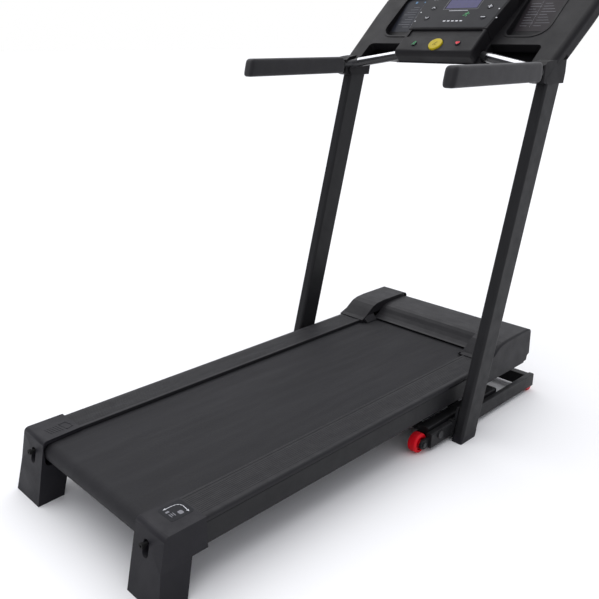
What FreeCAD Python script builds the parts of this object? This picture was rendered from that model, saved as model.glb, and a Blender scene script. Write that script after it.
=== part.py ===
# Folding treadmill. Millimetres, +Z up, +Y forward (towards the motor), +X to the runner's right.
# Every shape is drawn with Y measured from the rear edge of the feet, then moved so that the
# origin is the middle of the footprint on the floor.
import FreeCAD, Part
import os
import math
from FreeCAD import Vector as V

# ---- overall sizes
overall_length = 1695.2
deck_width = 660.0          # over the foot rails
belt_width = 466.0
rail_top_z = 180.0
belt_top_z = 170.0
upright_lean = 15.2         # degrees forward
console_slope = 40.0        # degrees above level
half = deck_width / 2.0

# ---- clearances
running_gap = 0.05          # radial, shaft in hole
side_gap = 4.0              # deck to base beams
touch_gap = 0.3             # between curved neighbours

# ---- belt, board and rollers
belt_thick = 2.0
roller_r = 27.0
roller_half = 240.0
rear_roller_y = 68.0
front_roller_y = 1400.0
roller_z = belt_top_z - belt_thick - roller_r
axle_r = 8.0
board_thick = 18.0
board_rear_y = 112.0
board_front_y = 1356.0
board_half = 232.0
cushion_h = 9.0
cross_low_z = 118.0

# ---- deck frame
tube_w = 27.0
tube_out = half - 3.0
tube_in = tube_out - tube_w
tube_low_z = 103.0
tube_top_z = 164.0
tube_rear_y = 64.0
tube_front_y = 1572.0
wall = 2.0
rail_inner = 230.0
rail_lip_z = 166.0
cap_front_y = 150.0
slot_x = 270.0              # belt tension slot in the rear cap
hood_rear_y = 1322.0
lip_end_y = 1096.0

# ---- base
beam_in = half + side_gap
beam_w = 20.0
beam_out = beam_in + beam_w
beam_low_z = 12.0
beam_top_z = 60.0
beam_rear_y = 986.0
beam_front_y = 1606.0
base_rear_cross_y = 1270.0
base_front_cross_y = 1590.0
wheel_r = 31.0
wheel_w = 30.0
wheel_y = 962.0
wheel_z = wheel_r
wheel_x = 318.0
wheel_axle_r = 5.0
roller_wheel_r = 18.0
roller_wheel_y = 1587.0
roller_wheel_w = 13.0
small_axle_r = 3.0

# ---- uprights
upright_in = 360.0
upright_w = 36.0
upright_depth = 83.0        # level depth, along Y
upright_rear_y = 1087.0     # at the floor
upright_top_z = 1115.0
upright_foot_z = 22.0

# ---- lift frame and fold hinge
lift_y = 1030.0
lift_z = 45.0
lift_pin_r = 8.0
arm_in = 292.0
arm_w = 38.0
arm_low_z = 30.0
arm_top_z = 68.0
arm_rear_y = 1000.0
arm_front_y = 1392.0
lift_cross_y = 1360.0
lift_cross_z = 52.0
lift_cross_r = 17.0
fold_y = 1470.0
fold_z = 165.0
fold_pin_r = 10.0
ear_in = 274.0
ear_w = 8.0
lever = 45.0
lever_lean = 8.0            # half of the lift travel, degrees
lever_pin_r = 5.0
eye_slack = 0.65            # play of the actuator eye on its pin

# ---- motor bay
motor_y = 1520.0
motor_z = 165.0
motor_r = 41.0
shaft_r = 8.0
pulley_r = 32.0
motor_pulley_r = 11.0
flywheel_r = 46.0
drive_belt_t = 3.0
hood_top_z = 221.0
shoulder_top_z = 233.0
hood_front_y = 1594.0
shoulder_in = 219.0
hood_wall = 3.0

# ---- console, in its own sloping frame: x across, s up the slope, n out towards the runner
console_y = 1360.0
console_z = 1100.0
arm_outer = 416.0           # half width over the console arms
arm_low_outer = 400.0
arm_inner = 345.0
under_z = 1117.0            # level underside between the arms
console_low_s = -10.0
console_top_s = 400.0
shell_deep = 30.0
back_deep = 56.0
back_arm_s = 120.0          # low end of the back shell at the arms
field_n = 49.0              # height of the display field
bar_n = 46.4
bar_half = 149.0
field_half = 171.0          # at its top edge
field_top_s = 356.0
seat_half = 144.0           # opening under the panel
bar_low_s = 29.0
ledge_low_s = 98.0
ledge_top_s = 134.0
window_low_s = 230.0
window_top_s = 338.0
safety_s = 62.0
tray_in = 178.0
tray_out = 316.0
tray_low_s = 156.0
tray_top_s = 362.0
key_travel = 1.2
switch_tilt = 6.0
inlet_x = 150.0

# ---- handles
grip_x = 378.0
grip_rear_y = 908.0
grip_front_y = 1343.0
grip_mid_z = 1104.0
grip_w = 40.0
grip_h = 55.0
bar_r = 14.0
pulse_r = 15.5


def save(name, shape):
    moved = shape.copy()
    moved.translate(V(0, -overall_length / 2.0, 0))
    moved.exportStep("parts/" + name + ".step")


def box(x0, x1, y0, y1, z0, z1):
    return Part.makeBox(x1 - x0, y1 - y0, z1 - z0, V(x0, y0, z0))


def cyl_x(r, x0, x1, y, z):
    return Part.makeCylinder(r, x1 - x0, V(x0, y, z), V(1, 0, 0))


def cyl_y(r, y0, y1, x, z):
    return Part.makeCylinder(r, y1 - y0, V(x, y0, z), V(0, 1, 0))


def cyl_z(r, z0, z1, x, y):
    return Part.makeCylinder(r, z1 - z0, V(x, y, z0), V(0, 0, 1))


def prism_x(points, x0, x1):
    loop = [V(x0, p[0], p[1]) for p in points]
    return Part.Face(Part.makePolygon(loop + [loop[0]])).extrude(V(x1 - x0, 0, 0))


def prism_y(points, y0, y1):
    loop = [V(p[0], y0, p[1]) for p in points]
    return Part.Face(Part.makePolygon(loop + [loop[0]])).extrude(V(0, y1 - y0, 0))


def prism_z(points, z0, z1):
    loop = [V(p[0], p[1], z0) for p in points]
    return Part.Face(Part.makePolygon(loop + [loop[0]])).extrude(V(0, 0, z1 - z0))


def mirrored(shape):
    return shape.mirror(V(0, 0, 0), V(1, 0, 0))


def joined(shapes):
    out = shapes[0]
    for other in shapes[1:]:
        out = out.fuse(other)
    return out.removeSplitter()


def group(shapes):
    return Part.makeCompound(shapes)


def rounded(shape, radius, wanted):
    # fillet the edges whose middle point and direction pass the test
    edges = []
    for edge in shape.Edges:
        first = edge.Vertexes[0].Point
        last = edge.Vertexes[-1].Point
        run = last.sub(first)
        if run.Length < 1e-6:
            continue
        run.normalize()
        mid = edge.valueAt((edge.FirstParameter + edge.LastParameter) / 2.0)
        if wanted(mid, run):
            edges.append(edge)
    return shape.makeFillet(radius, edges)


def soft_rims(shape, radius, above=-1e6):
    # fillet the circular edges that lie above the given height
    rims = [e for e in shape.Edges if e.Curve.TypeId == "Part::GeomCircle" and e.BoundBox.ZMin > above]
    return shape.makeFillet(radius, rims)


def along_x(run):
    return abs(run.x) > 0.99


def along_y(run):
    return abs(run.y) > 0.99


def along_z(run):
    return abs(run.z) > 0.99


def box_tube(x0, x1, y0, y1, z0, z1, corner=4.0):
    # closed welded tube with a small drain hole in its underside
    outer = box(x0, x1, y0, y1, z0, z1)
    spans = [x1 - x0, y1 - y0, z1 - z0]
    way = spans.index(max(spans))
    test = [along_x, along_y, along_z][way]
    outer = rounded(outer, corner, lambda mid, run: test(run))
    inner = box(x0 + wall, x1 - wall, y0 + wall, y1 - wall, z0 + wall, z1 - wall)
    drain = cyl_z(3.0, z0 - 1, z0 + wall + 1, (x0 + x1) / 2.0, (y0 + y1) / 2.0)
    return outer.cut(inner).cut(drain)


# ------------------------------------------------------------------ base
def base_beam():
    beam = box_tube(beam_in, beam_out, beam_rear_y, beam_front_y, beam_low_z, beam_top_z)
    # pivot bush for the lift arm
    bush = cyl_x(14.0, beam_in, beam_out, lift_y, lift_z)
    bush = bush.common(box(beam_in, beam_out, lift_y - 20, lift_y + 20, beam_low_z, beam_top_z))
    # plate that carries the upright, with a top flange
    lean = math.tan(math.radians(upright_lean))
    y_low = upright_rear_y + 14 * lean
    plate = prism_x([(y_low + 2, 14), (y_low + 76, 14), (y_low + 76 + 90 * lean, 104),
                     (y_low + 2 + 90 * lean, 104)], beam_out - 2, upright_in)
    gusset = prism_x([(y_low - 6, 14), (y_low + 2, 14), (y_low + 2 + 50 * lean, 64),
                      (y_low - 6 + 50 * lean, 64)], beam_in + 4, upright_in)
    # tab for the transport wheel
    tab_in = wheel_x + wheel_w / 2.0 + 3.0
    tab = box(tab_in, tab_in + 9, wheel_y, beam_rear_y + 14, wheel_z - 15, wheel_z + 15)
    tab = tab.fuse(cyl_x(15.0, tab_in, tab_in + 9, wheel_y, wheel_z))
    body = joined([beam, bush, plate, gusset, tab])
    body = body.cut(cyl_x(lift_pin_r, beam_in - 5, beam_out + 5, lift_y, lift_z))
    body = body.cut(cyl_x(wheel_axle_r, tab_in - 5, tab_in + 20, wheel_y, wheel_z))
    # pocket for the small roller under the front end
    body = body.cut(box(beam_in + 2, beam_out - 2, roller_wheel_y - 21, beam_front_y + 5, 0, 40))
    body = body.cut(cyl_x(small_axle_r, beam_in - 5, beam_out + 5, roller_wheel_y, roller_wheel_r))
    for y, z in bolt_spots():
        body = body.cut(cyl_x(5.0, beam_out - 6, upright_in + 5, y, z))
    return body


def bolt_spots():
    lean = math.tan(math.radians(upright_lean))
    return [(upright_rear_y + upright_depth / 2.0 + z * lean, z) for z in (34.0, 86.0)]


def base_cross_tubes():
    rear = box(-beam_in, beam_in, base_rear_cross_y - 20, base_rear_cross_y + 20, 12, 27)
    rear = rear.cut(box(-beam_in + 3, beam_in - 3, base_rear_cross_y - 18,
                        base_rear_cross_y + 18, 14, 25))
    drain = cyl_z(3.0, 10, 15, 100, base_rear_cross_y)
    posts = []
    for x in (-19.0, 13.0):
        post = box(x, x + 6, base_rear_cross_y - 15, base_rear_cross_y + 15, 26, 89.6)
        post = post.fuse(cyl_x(11.0, x, x + 6, base_rear_cross_y, 89.6))
        posts.append(post)
    rear = joined([rear.cut(drain)] + posts)
    rear = rear.cut(cyl_x(lever_pin_r, -30, 30, base_rear_cross_y, 89.6))
    front = box_tube(-beam_in, beam_in, base_front_cross_y - 15, base_front_cross_y + 15,
                     beam_low_z, beam_top_z - 2)
    return group([rear, front])


def upright():
    lean = math.radians(upright_lean)
    tan = math.tan(lean)
    out = upright_in + upright_w

    def leaning(inset, z0, z1):
        y0 = upright_rear_y + inset / math.cos(lean)
        y1 = upright_rear_y + upright_depth - inset / math.cos(lean)
        points = [(y0 + z0 * tan, z0), (y1 + z0 * tan, z0), (y1 + z1 * tan, z1), (y0 + z1 * tan, z1)]
        return prism_x(points, upright_in + inset, out - inset)

    skin = leaning(0, upright_foot_z, upright_top_z)
    skin = rounded(skin, 9.0, lambda mid, run: abs(run.x) < 0.01 and run.z * run.z > 0.5
                   and abs(run.y) < 0.5 and abs(abs(run.z) - math.cos(lean)) < 0.01)
    bore = leaning(wall, upright_foot_z - 5, upright_top_z + 5)
    bore = rounded(bore, 7.0, lambda mid, run: abs(abs(run.z) - math.cos(lean)) < 0.01)
    tube = skin.cut(bore)
    for y, z in bolt_spots():
        tube = tube.cut(cyl_x(5.0, upright_in - 5, upright_in + 5, y, z))
    return tube


def upright_foot():
    lean = math.radians(upright_lean)
    tan = math.tan(lean)
    y0 = upright_rear_y
    y1 = upright_rear_y + upright_depth
    out = upright_in + upright_w
    pad = prism_x([(y0 + 1, 0), (y1 - 6, 0), (y1 + 7 * tan, 7), (y1 + upright_foot_z * tan, upright_foot_z),
                   (y0 + upright_foot_z * tan, upright_foot_z), (y0 - 1 + 7 * tan, 7)],
                  upright_in, out)
    pad = rounded(pad, 6.0, lambda mid, run: abs(run.x) < 0.01 and abs(run.z) > 0.6
                  and abs(mid.z - 14.5) < 3.0)
    inset = wall + 0.5
    plug = prism_x([(y0 + 4 + 20 * tan, 20), (y1 - 4 + 20 * tan, 20), (y1 - 4 + 45 * tan, 45),
                    (y0 + 4 + 45 * tan, 45)], upright_in + inset + 1, out - inset - 1)
    plug = rounded(plug, 7.0, lambda mid, run: abs(run.z) > 0.9)
    foot = joined([pad, plug])
    return foot.cut(cyl_x(6.0, upright_in - 5, upright_in + 13, bolt_spots()[0][0], bolt_spots()[0][1]))


def upright_bolt(y, z):
    shank = cyl_x(4.8, beam_out - 8, upright_in + 10, y, z)
    nut = cyl_x(8.0, upright_in + wall, upright_in + wall + 7, y, z)
    return shank.fuse(nut).removeSplitter()


def shoulder_bolt(r, x_in, x_out, head_r, head_w, keep_r, keep_w, y, z):
    parts = [cyl_x(r, x_in, x_out, y, z), cyl_x(head_r, x_out, x_out + head_w, y, z)]
    if keep_w:
        parts.append(cyl_x(keep_r, x_in - keep_w, x_in, y, z))
    return joined(parts)


def base_bolts():
    # upright bolts, lift pivots and wheel axles
    uprights = [upright_bolt(y, z) for y, z in bolt_spots()[1:]]
    low_y, low_z = bolt_spots()[0]
    uprights.append(cyl_x(4.8, beam_out - 5, upright_in + 9, low_y, low_z))
    tab_out = wheel_x + wheel_w / 2.0 + 12.0
    lift = shoulder_bolt(lift_pin_r, arm_in - 2, beam_out, 12.0, 5.0, 12.0, 3.0, lift_y, lift_z)
    wheel = shoulder_bolt(wheel_axle_r, wheel_x - wheel_w / 2.0 - 1, tab_out, 8.0, 4.0, 8.0, 3.0,
                          wheel_y, wheel_z)
    front = cyl_x(small_axle_r, beam_in, beam_out, roller_wheel_y, roller_wheel_r)
    one_side = uprights + [lift, wheel, front]
    return group(one_side + [mirrored(b) for b in one_side])


def rear_wheel():
    x0 = wheel_x - wheel_w / 2.0
    x1 = wheel_x + wheel_w / 2.0
    tyre = cyl_x(wheel_r, x0, x1, wheel_y, wheel_z)
    tyre = soft_rims(tyre, 6.0)
    dish = cyl_x(wheel_r - 10, x1 - 7, x1 + 1, wheel_y, wheel_z)
    dish2 = cyl_x(wheel_r - 10, x0 - 1, x0 + 7, wheel_y, wheel_z)
    hub = cyl_x(9.0, x0, x1, wheel_y, wheel_z)
    body = tyre.cut(dish).cut(dish2).fuse(hub)
    for k in range(6):
        ang = math.radians(60 * k + 30)
        body = body.cut(cyl_x(3.5, x0 - 1, x1 + 1, wheel_y + 14.5 * math.cos(ang),
                              wheel_z + 14.5 * math.sin(ang)))
    return body.cut(cyl_x(wheel_axle_r + running_gap, x0 - 1, x1 + 1, wheel_y, wheel_z))


def front_wheel():
    mid = (beam_in + beam_out) / 2.0
    x0 = mid - roller_wheel_w / 2.0
    x1 = mid + roller_wheel_w / 2.0
    body = cyl_x(roller_wheel_r, x0, x1, roller_wheel_y, roller_wheel_r)
    body = soft_rims(body, 2.5)
    return body.cut(cyl_x(small_axle_r + running_gap, x0 - 1, x1 + 1, roller_wheel_y, roller_wheel_r))


# ------------------------------------------------------------------ lift frame
def lift_arm():
    arm = box_tube(arm_in, arm_in + arm_w, arm_rear_y, arm_front_y, arm_low_z, arm_top_z)
    bush = cyl_x(12.0, arm_in, arm_in + arm_w, lift_y, lift_z)
    arm = joined([arm, bush])
    arm = arm.cut(cyl_x(lift_pin_r + running_gap, arm_in - 5, arm_in + arm_w + 5, lift_y, lift_z))
    return arm


def lever_point(turn):
    ang = math.radians(lever_lean - turn)
    return lift_y + lever * math.sin(ang), lift_z + lever * math.cos(ang)


def ear():
    run_y = fold_y - lift_cross_y
    run_z = fold_z - lift_cross_z
    size = math.hypot(run_y, run_z)
    ny = -run_z / size * 13.0
    nz = run_y / size * 13.0
    bar = prism_x([(lift_cross_y + ny, lift_cross_z + nz), (lift_cross_y - ny, lift_cross_z - nz),
                   (fold_y - ny, fold_z - nz), (fold_y + ny, fold_z + nz)], ear_in, ear_in + ear_w)
    eye = cyl_x(17.0, ear_in, ear_in + ear_w, fold_y, fold_z)
    return bar.fuse(eye)


def lift_cross():
    front = cyl_x(lift_cross_r, -arm_in, arm_in, lift_cross_y, lift_cross_z)
    front = front.cut(cyl_x(lift_cross_r - 2.5, -arm_in + 4, arm_in - 4, lift_cross_y, lift_cross_z))
    front = front.cut(cyl_z(3.0, lift_cross_z - 30, lift_cross_z, 0, lift_cross_y))
    right = ear()
    front = joined([front, right, mirrored(right)])
    front = front.cut(cyl_x(fold_pin_r + running_gap, -ear_in - 20, ear_in + 20, fold_y, fold_z))
    rear_r = 14.5
    rear = cyl_x(rear_r, -arm_in, arm_in, lift_y, lift_z)
    rear = rear.cut(cyl_x(rear_r - 2.5, -arm_in - 1, arm_in + 1, lift_y, lift_z))
    y, z = lever_point(0.0)
    run_y = y - lift_y
    run_z = z - lift_z
    size = math.hypot(run_y, run_z)
    ny = -run_z / size * 9.0
    nz = run_y / size * 9.0
    start_y = lift_y + run_y / size * 13.5
    start_z = lift_z + run_z / size * 13.5
    for x in (-15.0, 10.0):
        plate = prism_x([(start_y + ny, start_z + nz), (start_y - ny, start_z - nz),
                         (y - ny, z - nz), (y + ny, z + nz)], x, x + 5)
        plate = plate.fuse(cyl_x(9.0, x, x + 5, y, z))
        rear = rear.fuse(plate)
    rear = rear.fuse(cyl_x(lever_pin_r, -15, 15, y, z)).removeSplitter()
    return group([front, rear])


def fold_pins():
    inner = ear_in - 5.0
    pin = cyl_x(fold_pin_r, inner, tube_out - wall - 1, fold_y, fold_z)
    head = cyl_x(15.0, inner - 4, inner, fold_y, fold_z)
    pin = joined([pin, head])
    return group([pin, mirrored(pin)])


def actuator_body():
    z = lever_point(0.0)[1]
    tail = box(-12, 12, base_rear_cross_y - 24, base_rear_cross_y + 6, z - 9, z + 9)
    tail = tail.fuse(cyl_x(10.0, -12, 12, base_rear_cross_y, z))
    gearbox = box(-17, 62, 1198, 1250, z - 24, z + 14)
    gearbox = rounded(gearbox, 5.0, lambda mid, run: along_z(run))
    motor = cyl_y(21.0, 1094, 1200, 41, z - 5)
    tube = cyl_y(14.0, 1094, 1200, 0, z)
    body = joined([tail, gearbox, motor, tube])
    bore = cyl_y(8.0 + running_gap, 1090, 1192, 0, z)
    pin = cyl_x(lever_pin_r - 0.3, -19, 19, base_rear_cross_y, z)
    return body.cut(bore).fuse(pin).removeSplitter()


def actuator_rod():
    y, z = lever_point(0.0)
    rod = cyl_y(8.0, y + 8, 1170, 0, z)
    eye = cyl_x(12.5, -9, 9, y, z)
    rod = joined([rod, eye])
    return rod.cut(cyl_x(lever_pin_r + eye_slack, -10, 10, y, z))


# ------------------------------------------------------------------ deck
def deck_side():
    tube = box_tube(tube_in, tube_out, tube_rear_y, tube_front_y, tube_low_z, tube_top_z)
    boss = cyl_x(19.0, tube_in, tube_out, fold_y, fold_z)
    boss = boss.common(box(tube_in, tube_out, fold_y - 40, fold_y + 40, 90, 190))
    tube = joined([tube, boss])
    tube = tube.cut(cyl_x(fold_pin_r + running_gap, tube_in - 2, tube_out - wall, fold_y, fold_z))
    return tube


def deck_cross_tubes():
    top = belt_top_z - belt_thick - touch_gap - board_thick - cushion_h
    tubes = []
    for y in (250.0, 600.0, 930.0, 1310.0):
        tubes.append(box_tube(-tube_in, tube_in, y - 15, y + 15, cross_low_z, top, 3.0))
    front = box_tube(-tube_in, tube_in, 1556, 1571, 104, 122, 2.0)
    return group(tubes + [front])


def running_board():
    top = belt_top_z - belt_thick - touch_gap
    board = box(-board_half, board_half, board_rear_y, board_front_y, top - board_thick, top)
    return rounded(board, 3.0, lambda mid, run: along_x(run) and mid.z > top - 1)


def deck_cushions():
    top = belt_top_z - belt_thick - touch_gap - board_thick
    pads = []
    for y in (250.0, 600.0, 930.0, 1310.0):
        for x in (-190.0, 190.0):
            pads.append(cyl_z(12.0, top - cushion_h, top, x, y))
    return group(pads)


def belt_loop(r, x0, x1):
    rear = cyl_x(r, x0, x1, rear_roller_y, roller_z)
    front = cyl_x(r, x0, x1, front_roller_y, roller_z)
    middle = box(x0, x1, rear_roller_y, front_roller_y, roller_z - r, roller_z + r)
    return joined([rear, middle, front])


def walking_belt():
    w = belt_width / 2.0
    inner = belt_loop(roller_r + touch_gap * 0.5, -w - 1, w + 1)
    return belt_loop(roller_r + belt_thick, -w, w).cut(inner)


def roller(y, pulley):
    body = cyl_x(roller_r - touch_gap * 0.5, -roller_half, roller_half, y, roller_z)
    body = soft_rims(body, 2.0)
    if pulley:
        disc = cyl_x(pulley_r, -266, -246, y, roller_z)
        for k in range(5):
            x = -262.0 + 3.0 * k
            ring = cyl_x(pulley_r + 1, x, x + 1.4, y, roller_z)
            ring = ring.cut(cyl_x(pulley_r - 1.2, x - 1, x + 3, y, roller_z))
            disc = disc.cut(ring)
        body = body.fuse(cyl_x(20.0, -248, -238, y, roller_z)).fuse(disc)
    hollow_in = cyl_x(roller_r - 4, -roller_half + 12, roller_half - 12, y, roller_z)
    body = body.cut(hollow_in)
    return body.cut(cyl_x(axle_r + running_gap, -300, 300, y, roller_z)).removeSplitter()


def roller_axles():
    rear = cyl_x(axle_r, -290, 290, rear_roller_y, roller_z)
    front = cyl_x(axle_r, -tube_in, tube_in, front_roller_y, roller_z)
    return group([rear, front])


def tension_bolt(x):
    y0 = 22.0
    shank = cyl_y(4.0, y0, rear_roller_y - axle_r - touch_gap, x, roller_z)
    head = cyl_y(7.5, y0 - 8, y0, x, roller_z)
    sink = cyl_y(3.5, y0 - 9, y0 - 3, x, roller_z)
    return shank.fuse(head).cut(sink).removeSplitter()


def tension_bolts():
    return group([tension_bolt(-slot_x), tension_bolt(slot_x)])


def foot_rail():
    # ribbed tread plate with a rounded outer edge and a hanging lip
    top = rail_top_z
    under = top - 4.0
    points = [(rail_inner, top - 8.0), (rail_inner, top + 0.6), (rail_inner + 1.5, top + 1.4),
              (rail_inner + 7.0, top + 1.4), (rail_inner + 9.0, top)]
    ribs = 11
    pitch = 6.4
    start = rail_inner + 15.0
    for k in range(ribs):
        x = start + k * pitch
        points += [(x, top), (x + 0.8, top + 0.7), (x + 2.2, top + 0.7), (x + 3.0, top)]
    arc_r = 8.0
    for k in range(0, 7):
        a = math.radians(90 - 15 * k)
        points.append((half - arc_r + arc_r * math.cos(a), top - arc_r + arc_r * math.sin(a)))
    points += [(half, rail_lip_z), (half - 2.7, rail_lip_z), (half - 2.7, under - 3),
               (half - 5.0, under), (rail_inner + 2.5, under), (rail_inner + 2.5, top - 8.0)]
    rail = prism_y(points, cap_front_y + 0.2, hood_rear_y - 0.2)
    leg_in = box(tube_in + 1, tube_in + 4, cap_front_y + 0.2, hood_rear_y - 0.2, tube_top_z, under + 1)
    leg_out = box(tube_out - 6, tube_out - 3, cap_front_y + 0.2, hood_rear_y - 0.2, tube_top_z, under + 1)
    rail = joined([rail, leg_in, leg_out])
    # the lip stops short of the hinge area
    return rail.cut(box(half - 2.7, half + 5, lip_end_y, hood_rear_y + 5, 150, top - 8.5))


def rear_cap():
    # moulded cover over the frame's rear corner, with the rear foot
    top = rail_top_z + 2.5
    outer_low = 345.0
    outer_top = half + 3.0
    inner_low = 219.0
    side = [(0, 0), (78, 0), (106, 100), (cap_front_y, 100), (cap_front_y, top), (38, top), (35, 170)]
    body = prism_x(side, inner_low - 2, outer_low + 1)
    # draft on the outer side and a slant on the inner edge
    body = body.cut(prism_y([(outer_low, -1), (outer_top + 0.5, 95), (outer_top, top + 1),
                             (outer_low + 20, top + 1), (outer_low + 20, -1)], -10, 200))
    body = body.cut(prism_z([(inner_low - 10, -1), (inner_low, -1), (inner_low + 9, cap_front_y + 1),
                             (inner_low - 10, cap_front_y + 1)], -1, top + 1))
    body = rounded(body, 14.0, lambda mid, run: abs(run.x) > 0.95 and mid.y < 45 and mid.z > top - 2)
    # space for the frame tube and the roller with its belt
    tube_room = box(tube_in - touch_gap, tube_out + touch_gap, tube_rear_y - 1, cap_front_y + 1,
                    tube_low_z - touch_gap, tube_top_z + touch_gap)
    belt_room = box(inner_low - 10, roller_half + 4, 36, cap_front_y + 1,
                    roller_z - roller_r - 6, belt_top_z + 2.0)
    belt_room = rounded(belt_room, 14.0, lambda mid, run: along_x(run) and mid.y < 40)
    axle_room = box(roller_half, 292, rear_roller_y - axle_r - 4, rear_roller_y + 30,
                    roller_z - axle_r - 0.5, roller_z + axle_r + 0.5)
    core = box(inner_low + 24, tube_in - 3, 44, cap_front_y + 1, 107, 174.5)
    hollow = prism_x([(14, -1), (66, -1), (92, 96), (36, 96)], inner_low + 6, 329)
    slot = cyl_y(11.0, -10, 40.5, slot_x, 140).fuse(cyl_y(11.0, -10, 40.5, slot_x, 117))
    slot = slot.fuse(box(slot_x - 11, slot_x + 11, -10, 40.5, 117, 140))
    for cutter in (tube_room, belt_room, axle_room, core, hollow, slot):
        body = body.cut(cutter)
    # the foot stands on a sole plate that closes the hollow
    sole = prism_x([(14, 0), (66, 0), (67, 5), (15, 5)], inner_low + 6, 329)
    bolt_room = cyl_y(8.5, 10, 60, slot_x, roller_z)
    return joined([body, sole]).cut(bolt_room)


# ------------------------------------------------------------------ motor bay and hood
def shoulder_profile(z_shift, y_shift):
    top = shoulder_top_z + z_shift
    rear = hood_rear_y + y_shift
    front = hood_front_y - y_shift
    return [(rear, rail_top_z + 3 + z_shift), (rear + 14, rail_top_z + 8 + z_shift),
            (1372, 213 + z_shift), (1390, 224 + z_shift), (1412, 230 + z_shift), (1450, top),
            (front - 16, top), (front - 5, top - 4), (front, top - 13)]


def hood_cap():
    # shoulder cover: top, outer side wall, front wall
    low = [(1598, 136), (1586, 132), (1582, 114), (1494, 108), (hood_rear_y, 165)]
    outline = shoulder_profile(0, 0) + low
    body = prism_x(outline, shoulder_in, half)
    body = rounded(body, 9.0, lambda mid, run: mid.x > half - 1 and mid.z > 185 and abs(run.x) < 0.1
                   and mid.y > 1345 and mid.y < hood_front_y - 17)
    low_in = [(1592, 139), (1579, 128), (1577, 100), (1490, 90), (hood_rear_y - 5, 90)]
    inside = prism_x(shoulder_profile(-hood_wall, hood_wall) + low_in, shoulder_in - 5, half - hood_wall)
    body = body.cut(inside)
    body = body.cut(box(shoulder_in - 5, 236, hood_rear_y - 1, 1400, 150, 172.6))
    # rear end sits on the rail line; open inner side meets the centre cover
    lip = prism_x([(hood_rear_y + 1, 174), (1384, 174), (1384, 214), (1370, 208), (hood_rear_y + 1, 182)],
                  shoulder_in, shoulder_in + hood_wall)
    web = prism_x([(1384, 196), (1578, 196), (1578, 229), (1450, 229), (1412, 226), (1384, 214)],
                  shoulder_in, shoulder_in + hood_wall)
    # sloping inner fillet towards the belt
    fair = prism_y([(shoulder_in - 16, 173), (shoulder_in + 2, 173), (shoulder_in + 2, 196)],
                   hood_rear_y + 12, 1389)
    roof = prism_x([(hood_rear_y + 12, 150), (1400, 150), (1400, 221), (1372, 207), (1340, 187),
                    (hood_rear_y + 12, 184)], 190, shoulder_in + 3)
    fair = fair.common(roof)
    return joined([body, lip, web, fair])


def hood_centre():
    # centre cover with a concave rise from the belt
    w = shoulder_in - touch_gap
    rise = [(1390, 177.5), (1400, 179.5), (1414, 185.5), (1428, 195), (1440, 206), (1452, 213), (1468, 216.5),
            (1500, 219), (1560, hood_top_z), (1580, hood_top_z - 1), (1590, hood_top_z - 6),
            (hood_front_y, hood_top_z - 16)]
    outline = rise + [(1598, 136), (1586, 132), (1582, 114), (1579, 114), (1582, 135), (1594, 140),
                      (hood_front_y - 3.5, hood_top_z - 18), (1585, hood_top_z - 9),
                      (1560, hood_top_z - 3), (1500, 216), (1469, 213.5), (1453, 210), (1442, 203.5),
                      (1430, 192.5), (1416, 183), (1403, 177.3), (1391, 175.6)]
    cover = prism_x(outline, -w, w)
    ribs = []
    for x in (-w, w - 3):
        ribs.append(prism_x([(1420, 178), (1446, 190), (1446, 206), (1424, 188)], x, x + 3))
    cover = joined([cover] + ribs)
    vents = []
    for k in range(9):
        x = -120 + 30 * k
        vents.append(box(x - 9, x + 9, 1570, 1610, 160, 165))
        vents.append(box(x - 9, x + 9, 1570, 1610, 176, 181))
    for slot in vents:
        cover = cover.cut(slot)
    return cover.cut(box(inlet_x + 3.6, inlet_x + 52.4, 1585, 1612, 149.6, 196.4))


def belly_pan():
    pan = box(-240, 240, 1334, 1554, 100, 103)
    lips = [box(-240, 240, 1334, 1337, 103, 108), box(-240, -237, 1334, 1554, 103, 112),
            box(237, 240, 1334, 1554, 103, 112)]
    pan = joined([pan] + lips)
    for k in range(6):
        pan = pan.cut(box(-100 + 34 * k, -86 + 34 * k, 1450, 1520, 95, 105))
    return pan


def drive_motor():
    can = cyl_x(motor_r, -140, 70, motor_y, motor_z)
    can = soft_rims(can, 5.0)
    foot = box(-110, 40, motor_y - 34, motor_y + 34, 103, motor_z - 20)
    body = joined([can, foot])
    slots = []
    for k in range(8):
        ang = math.radians(45 * k + 22.5)
        slots.append(cyl_x(4.0, 60, 71, motor_y + 28 * math.cos(ang), motor_z + 28 * math.sin(ang)))
    for cutter in slots:
        body = body.cut(cutter)
    return body.cut(cyl_x(shaft_r + running_gap, -141, 40, motor_y, motor_z))


def flywheel():
    shaft = cyl_x(shaft_r, -266, 38, motor_y, motor_z)
    wheel = cyl_x(flywheel_r, -186, -150, motor_y, motor_z)
    wheel = soft_rims(wheel, 3.0)
    pulley = cyl_x(motor_pulley_r, -266, -246, motor_y, motor_z)
    cone = cyl_x(16.0, -196, -186, motor_y, motor_z)
    return joined([shaft, wheel, pulley, cone])


def pulley_loop(grow, x0, x1):
    # open belt line round the two pulleys
    ay, az, ar = front_roller_y, roller_z, pulley_r + grow
    by, bz, br = motor_y, motor_z, motor_pulley_r + grow
    dist = math.hypot(by - ay, bz - az)
    lean = math.atan2(bz - az, by - ay)
    spread = math.acos((ar - br) / dist)
    pts = []
    for sign in (1, -1):
        ang = lean + sign * spread
        pts.append(((ay + ar * math.cos(ang), az + ar * math.sin(ang)),
                    (by + br * math.cos(ang), bz + br * math.sin(ang))))
    strip = prism_x([pts[0][0], pts[0][1], pts[1][1], pts[1][0]], x0, x1)
    return joined([cyl_x(ar, x0, x1, ay, az), strip, cyl_x(br, x0, x1, by, bz)])


def drive_belt():
    return pulley_loop(touch_gap + drive_belt_t, -263, -249).cut(pulley_loop(touch_gap, -265, -247))


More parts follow.
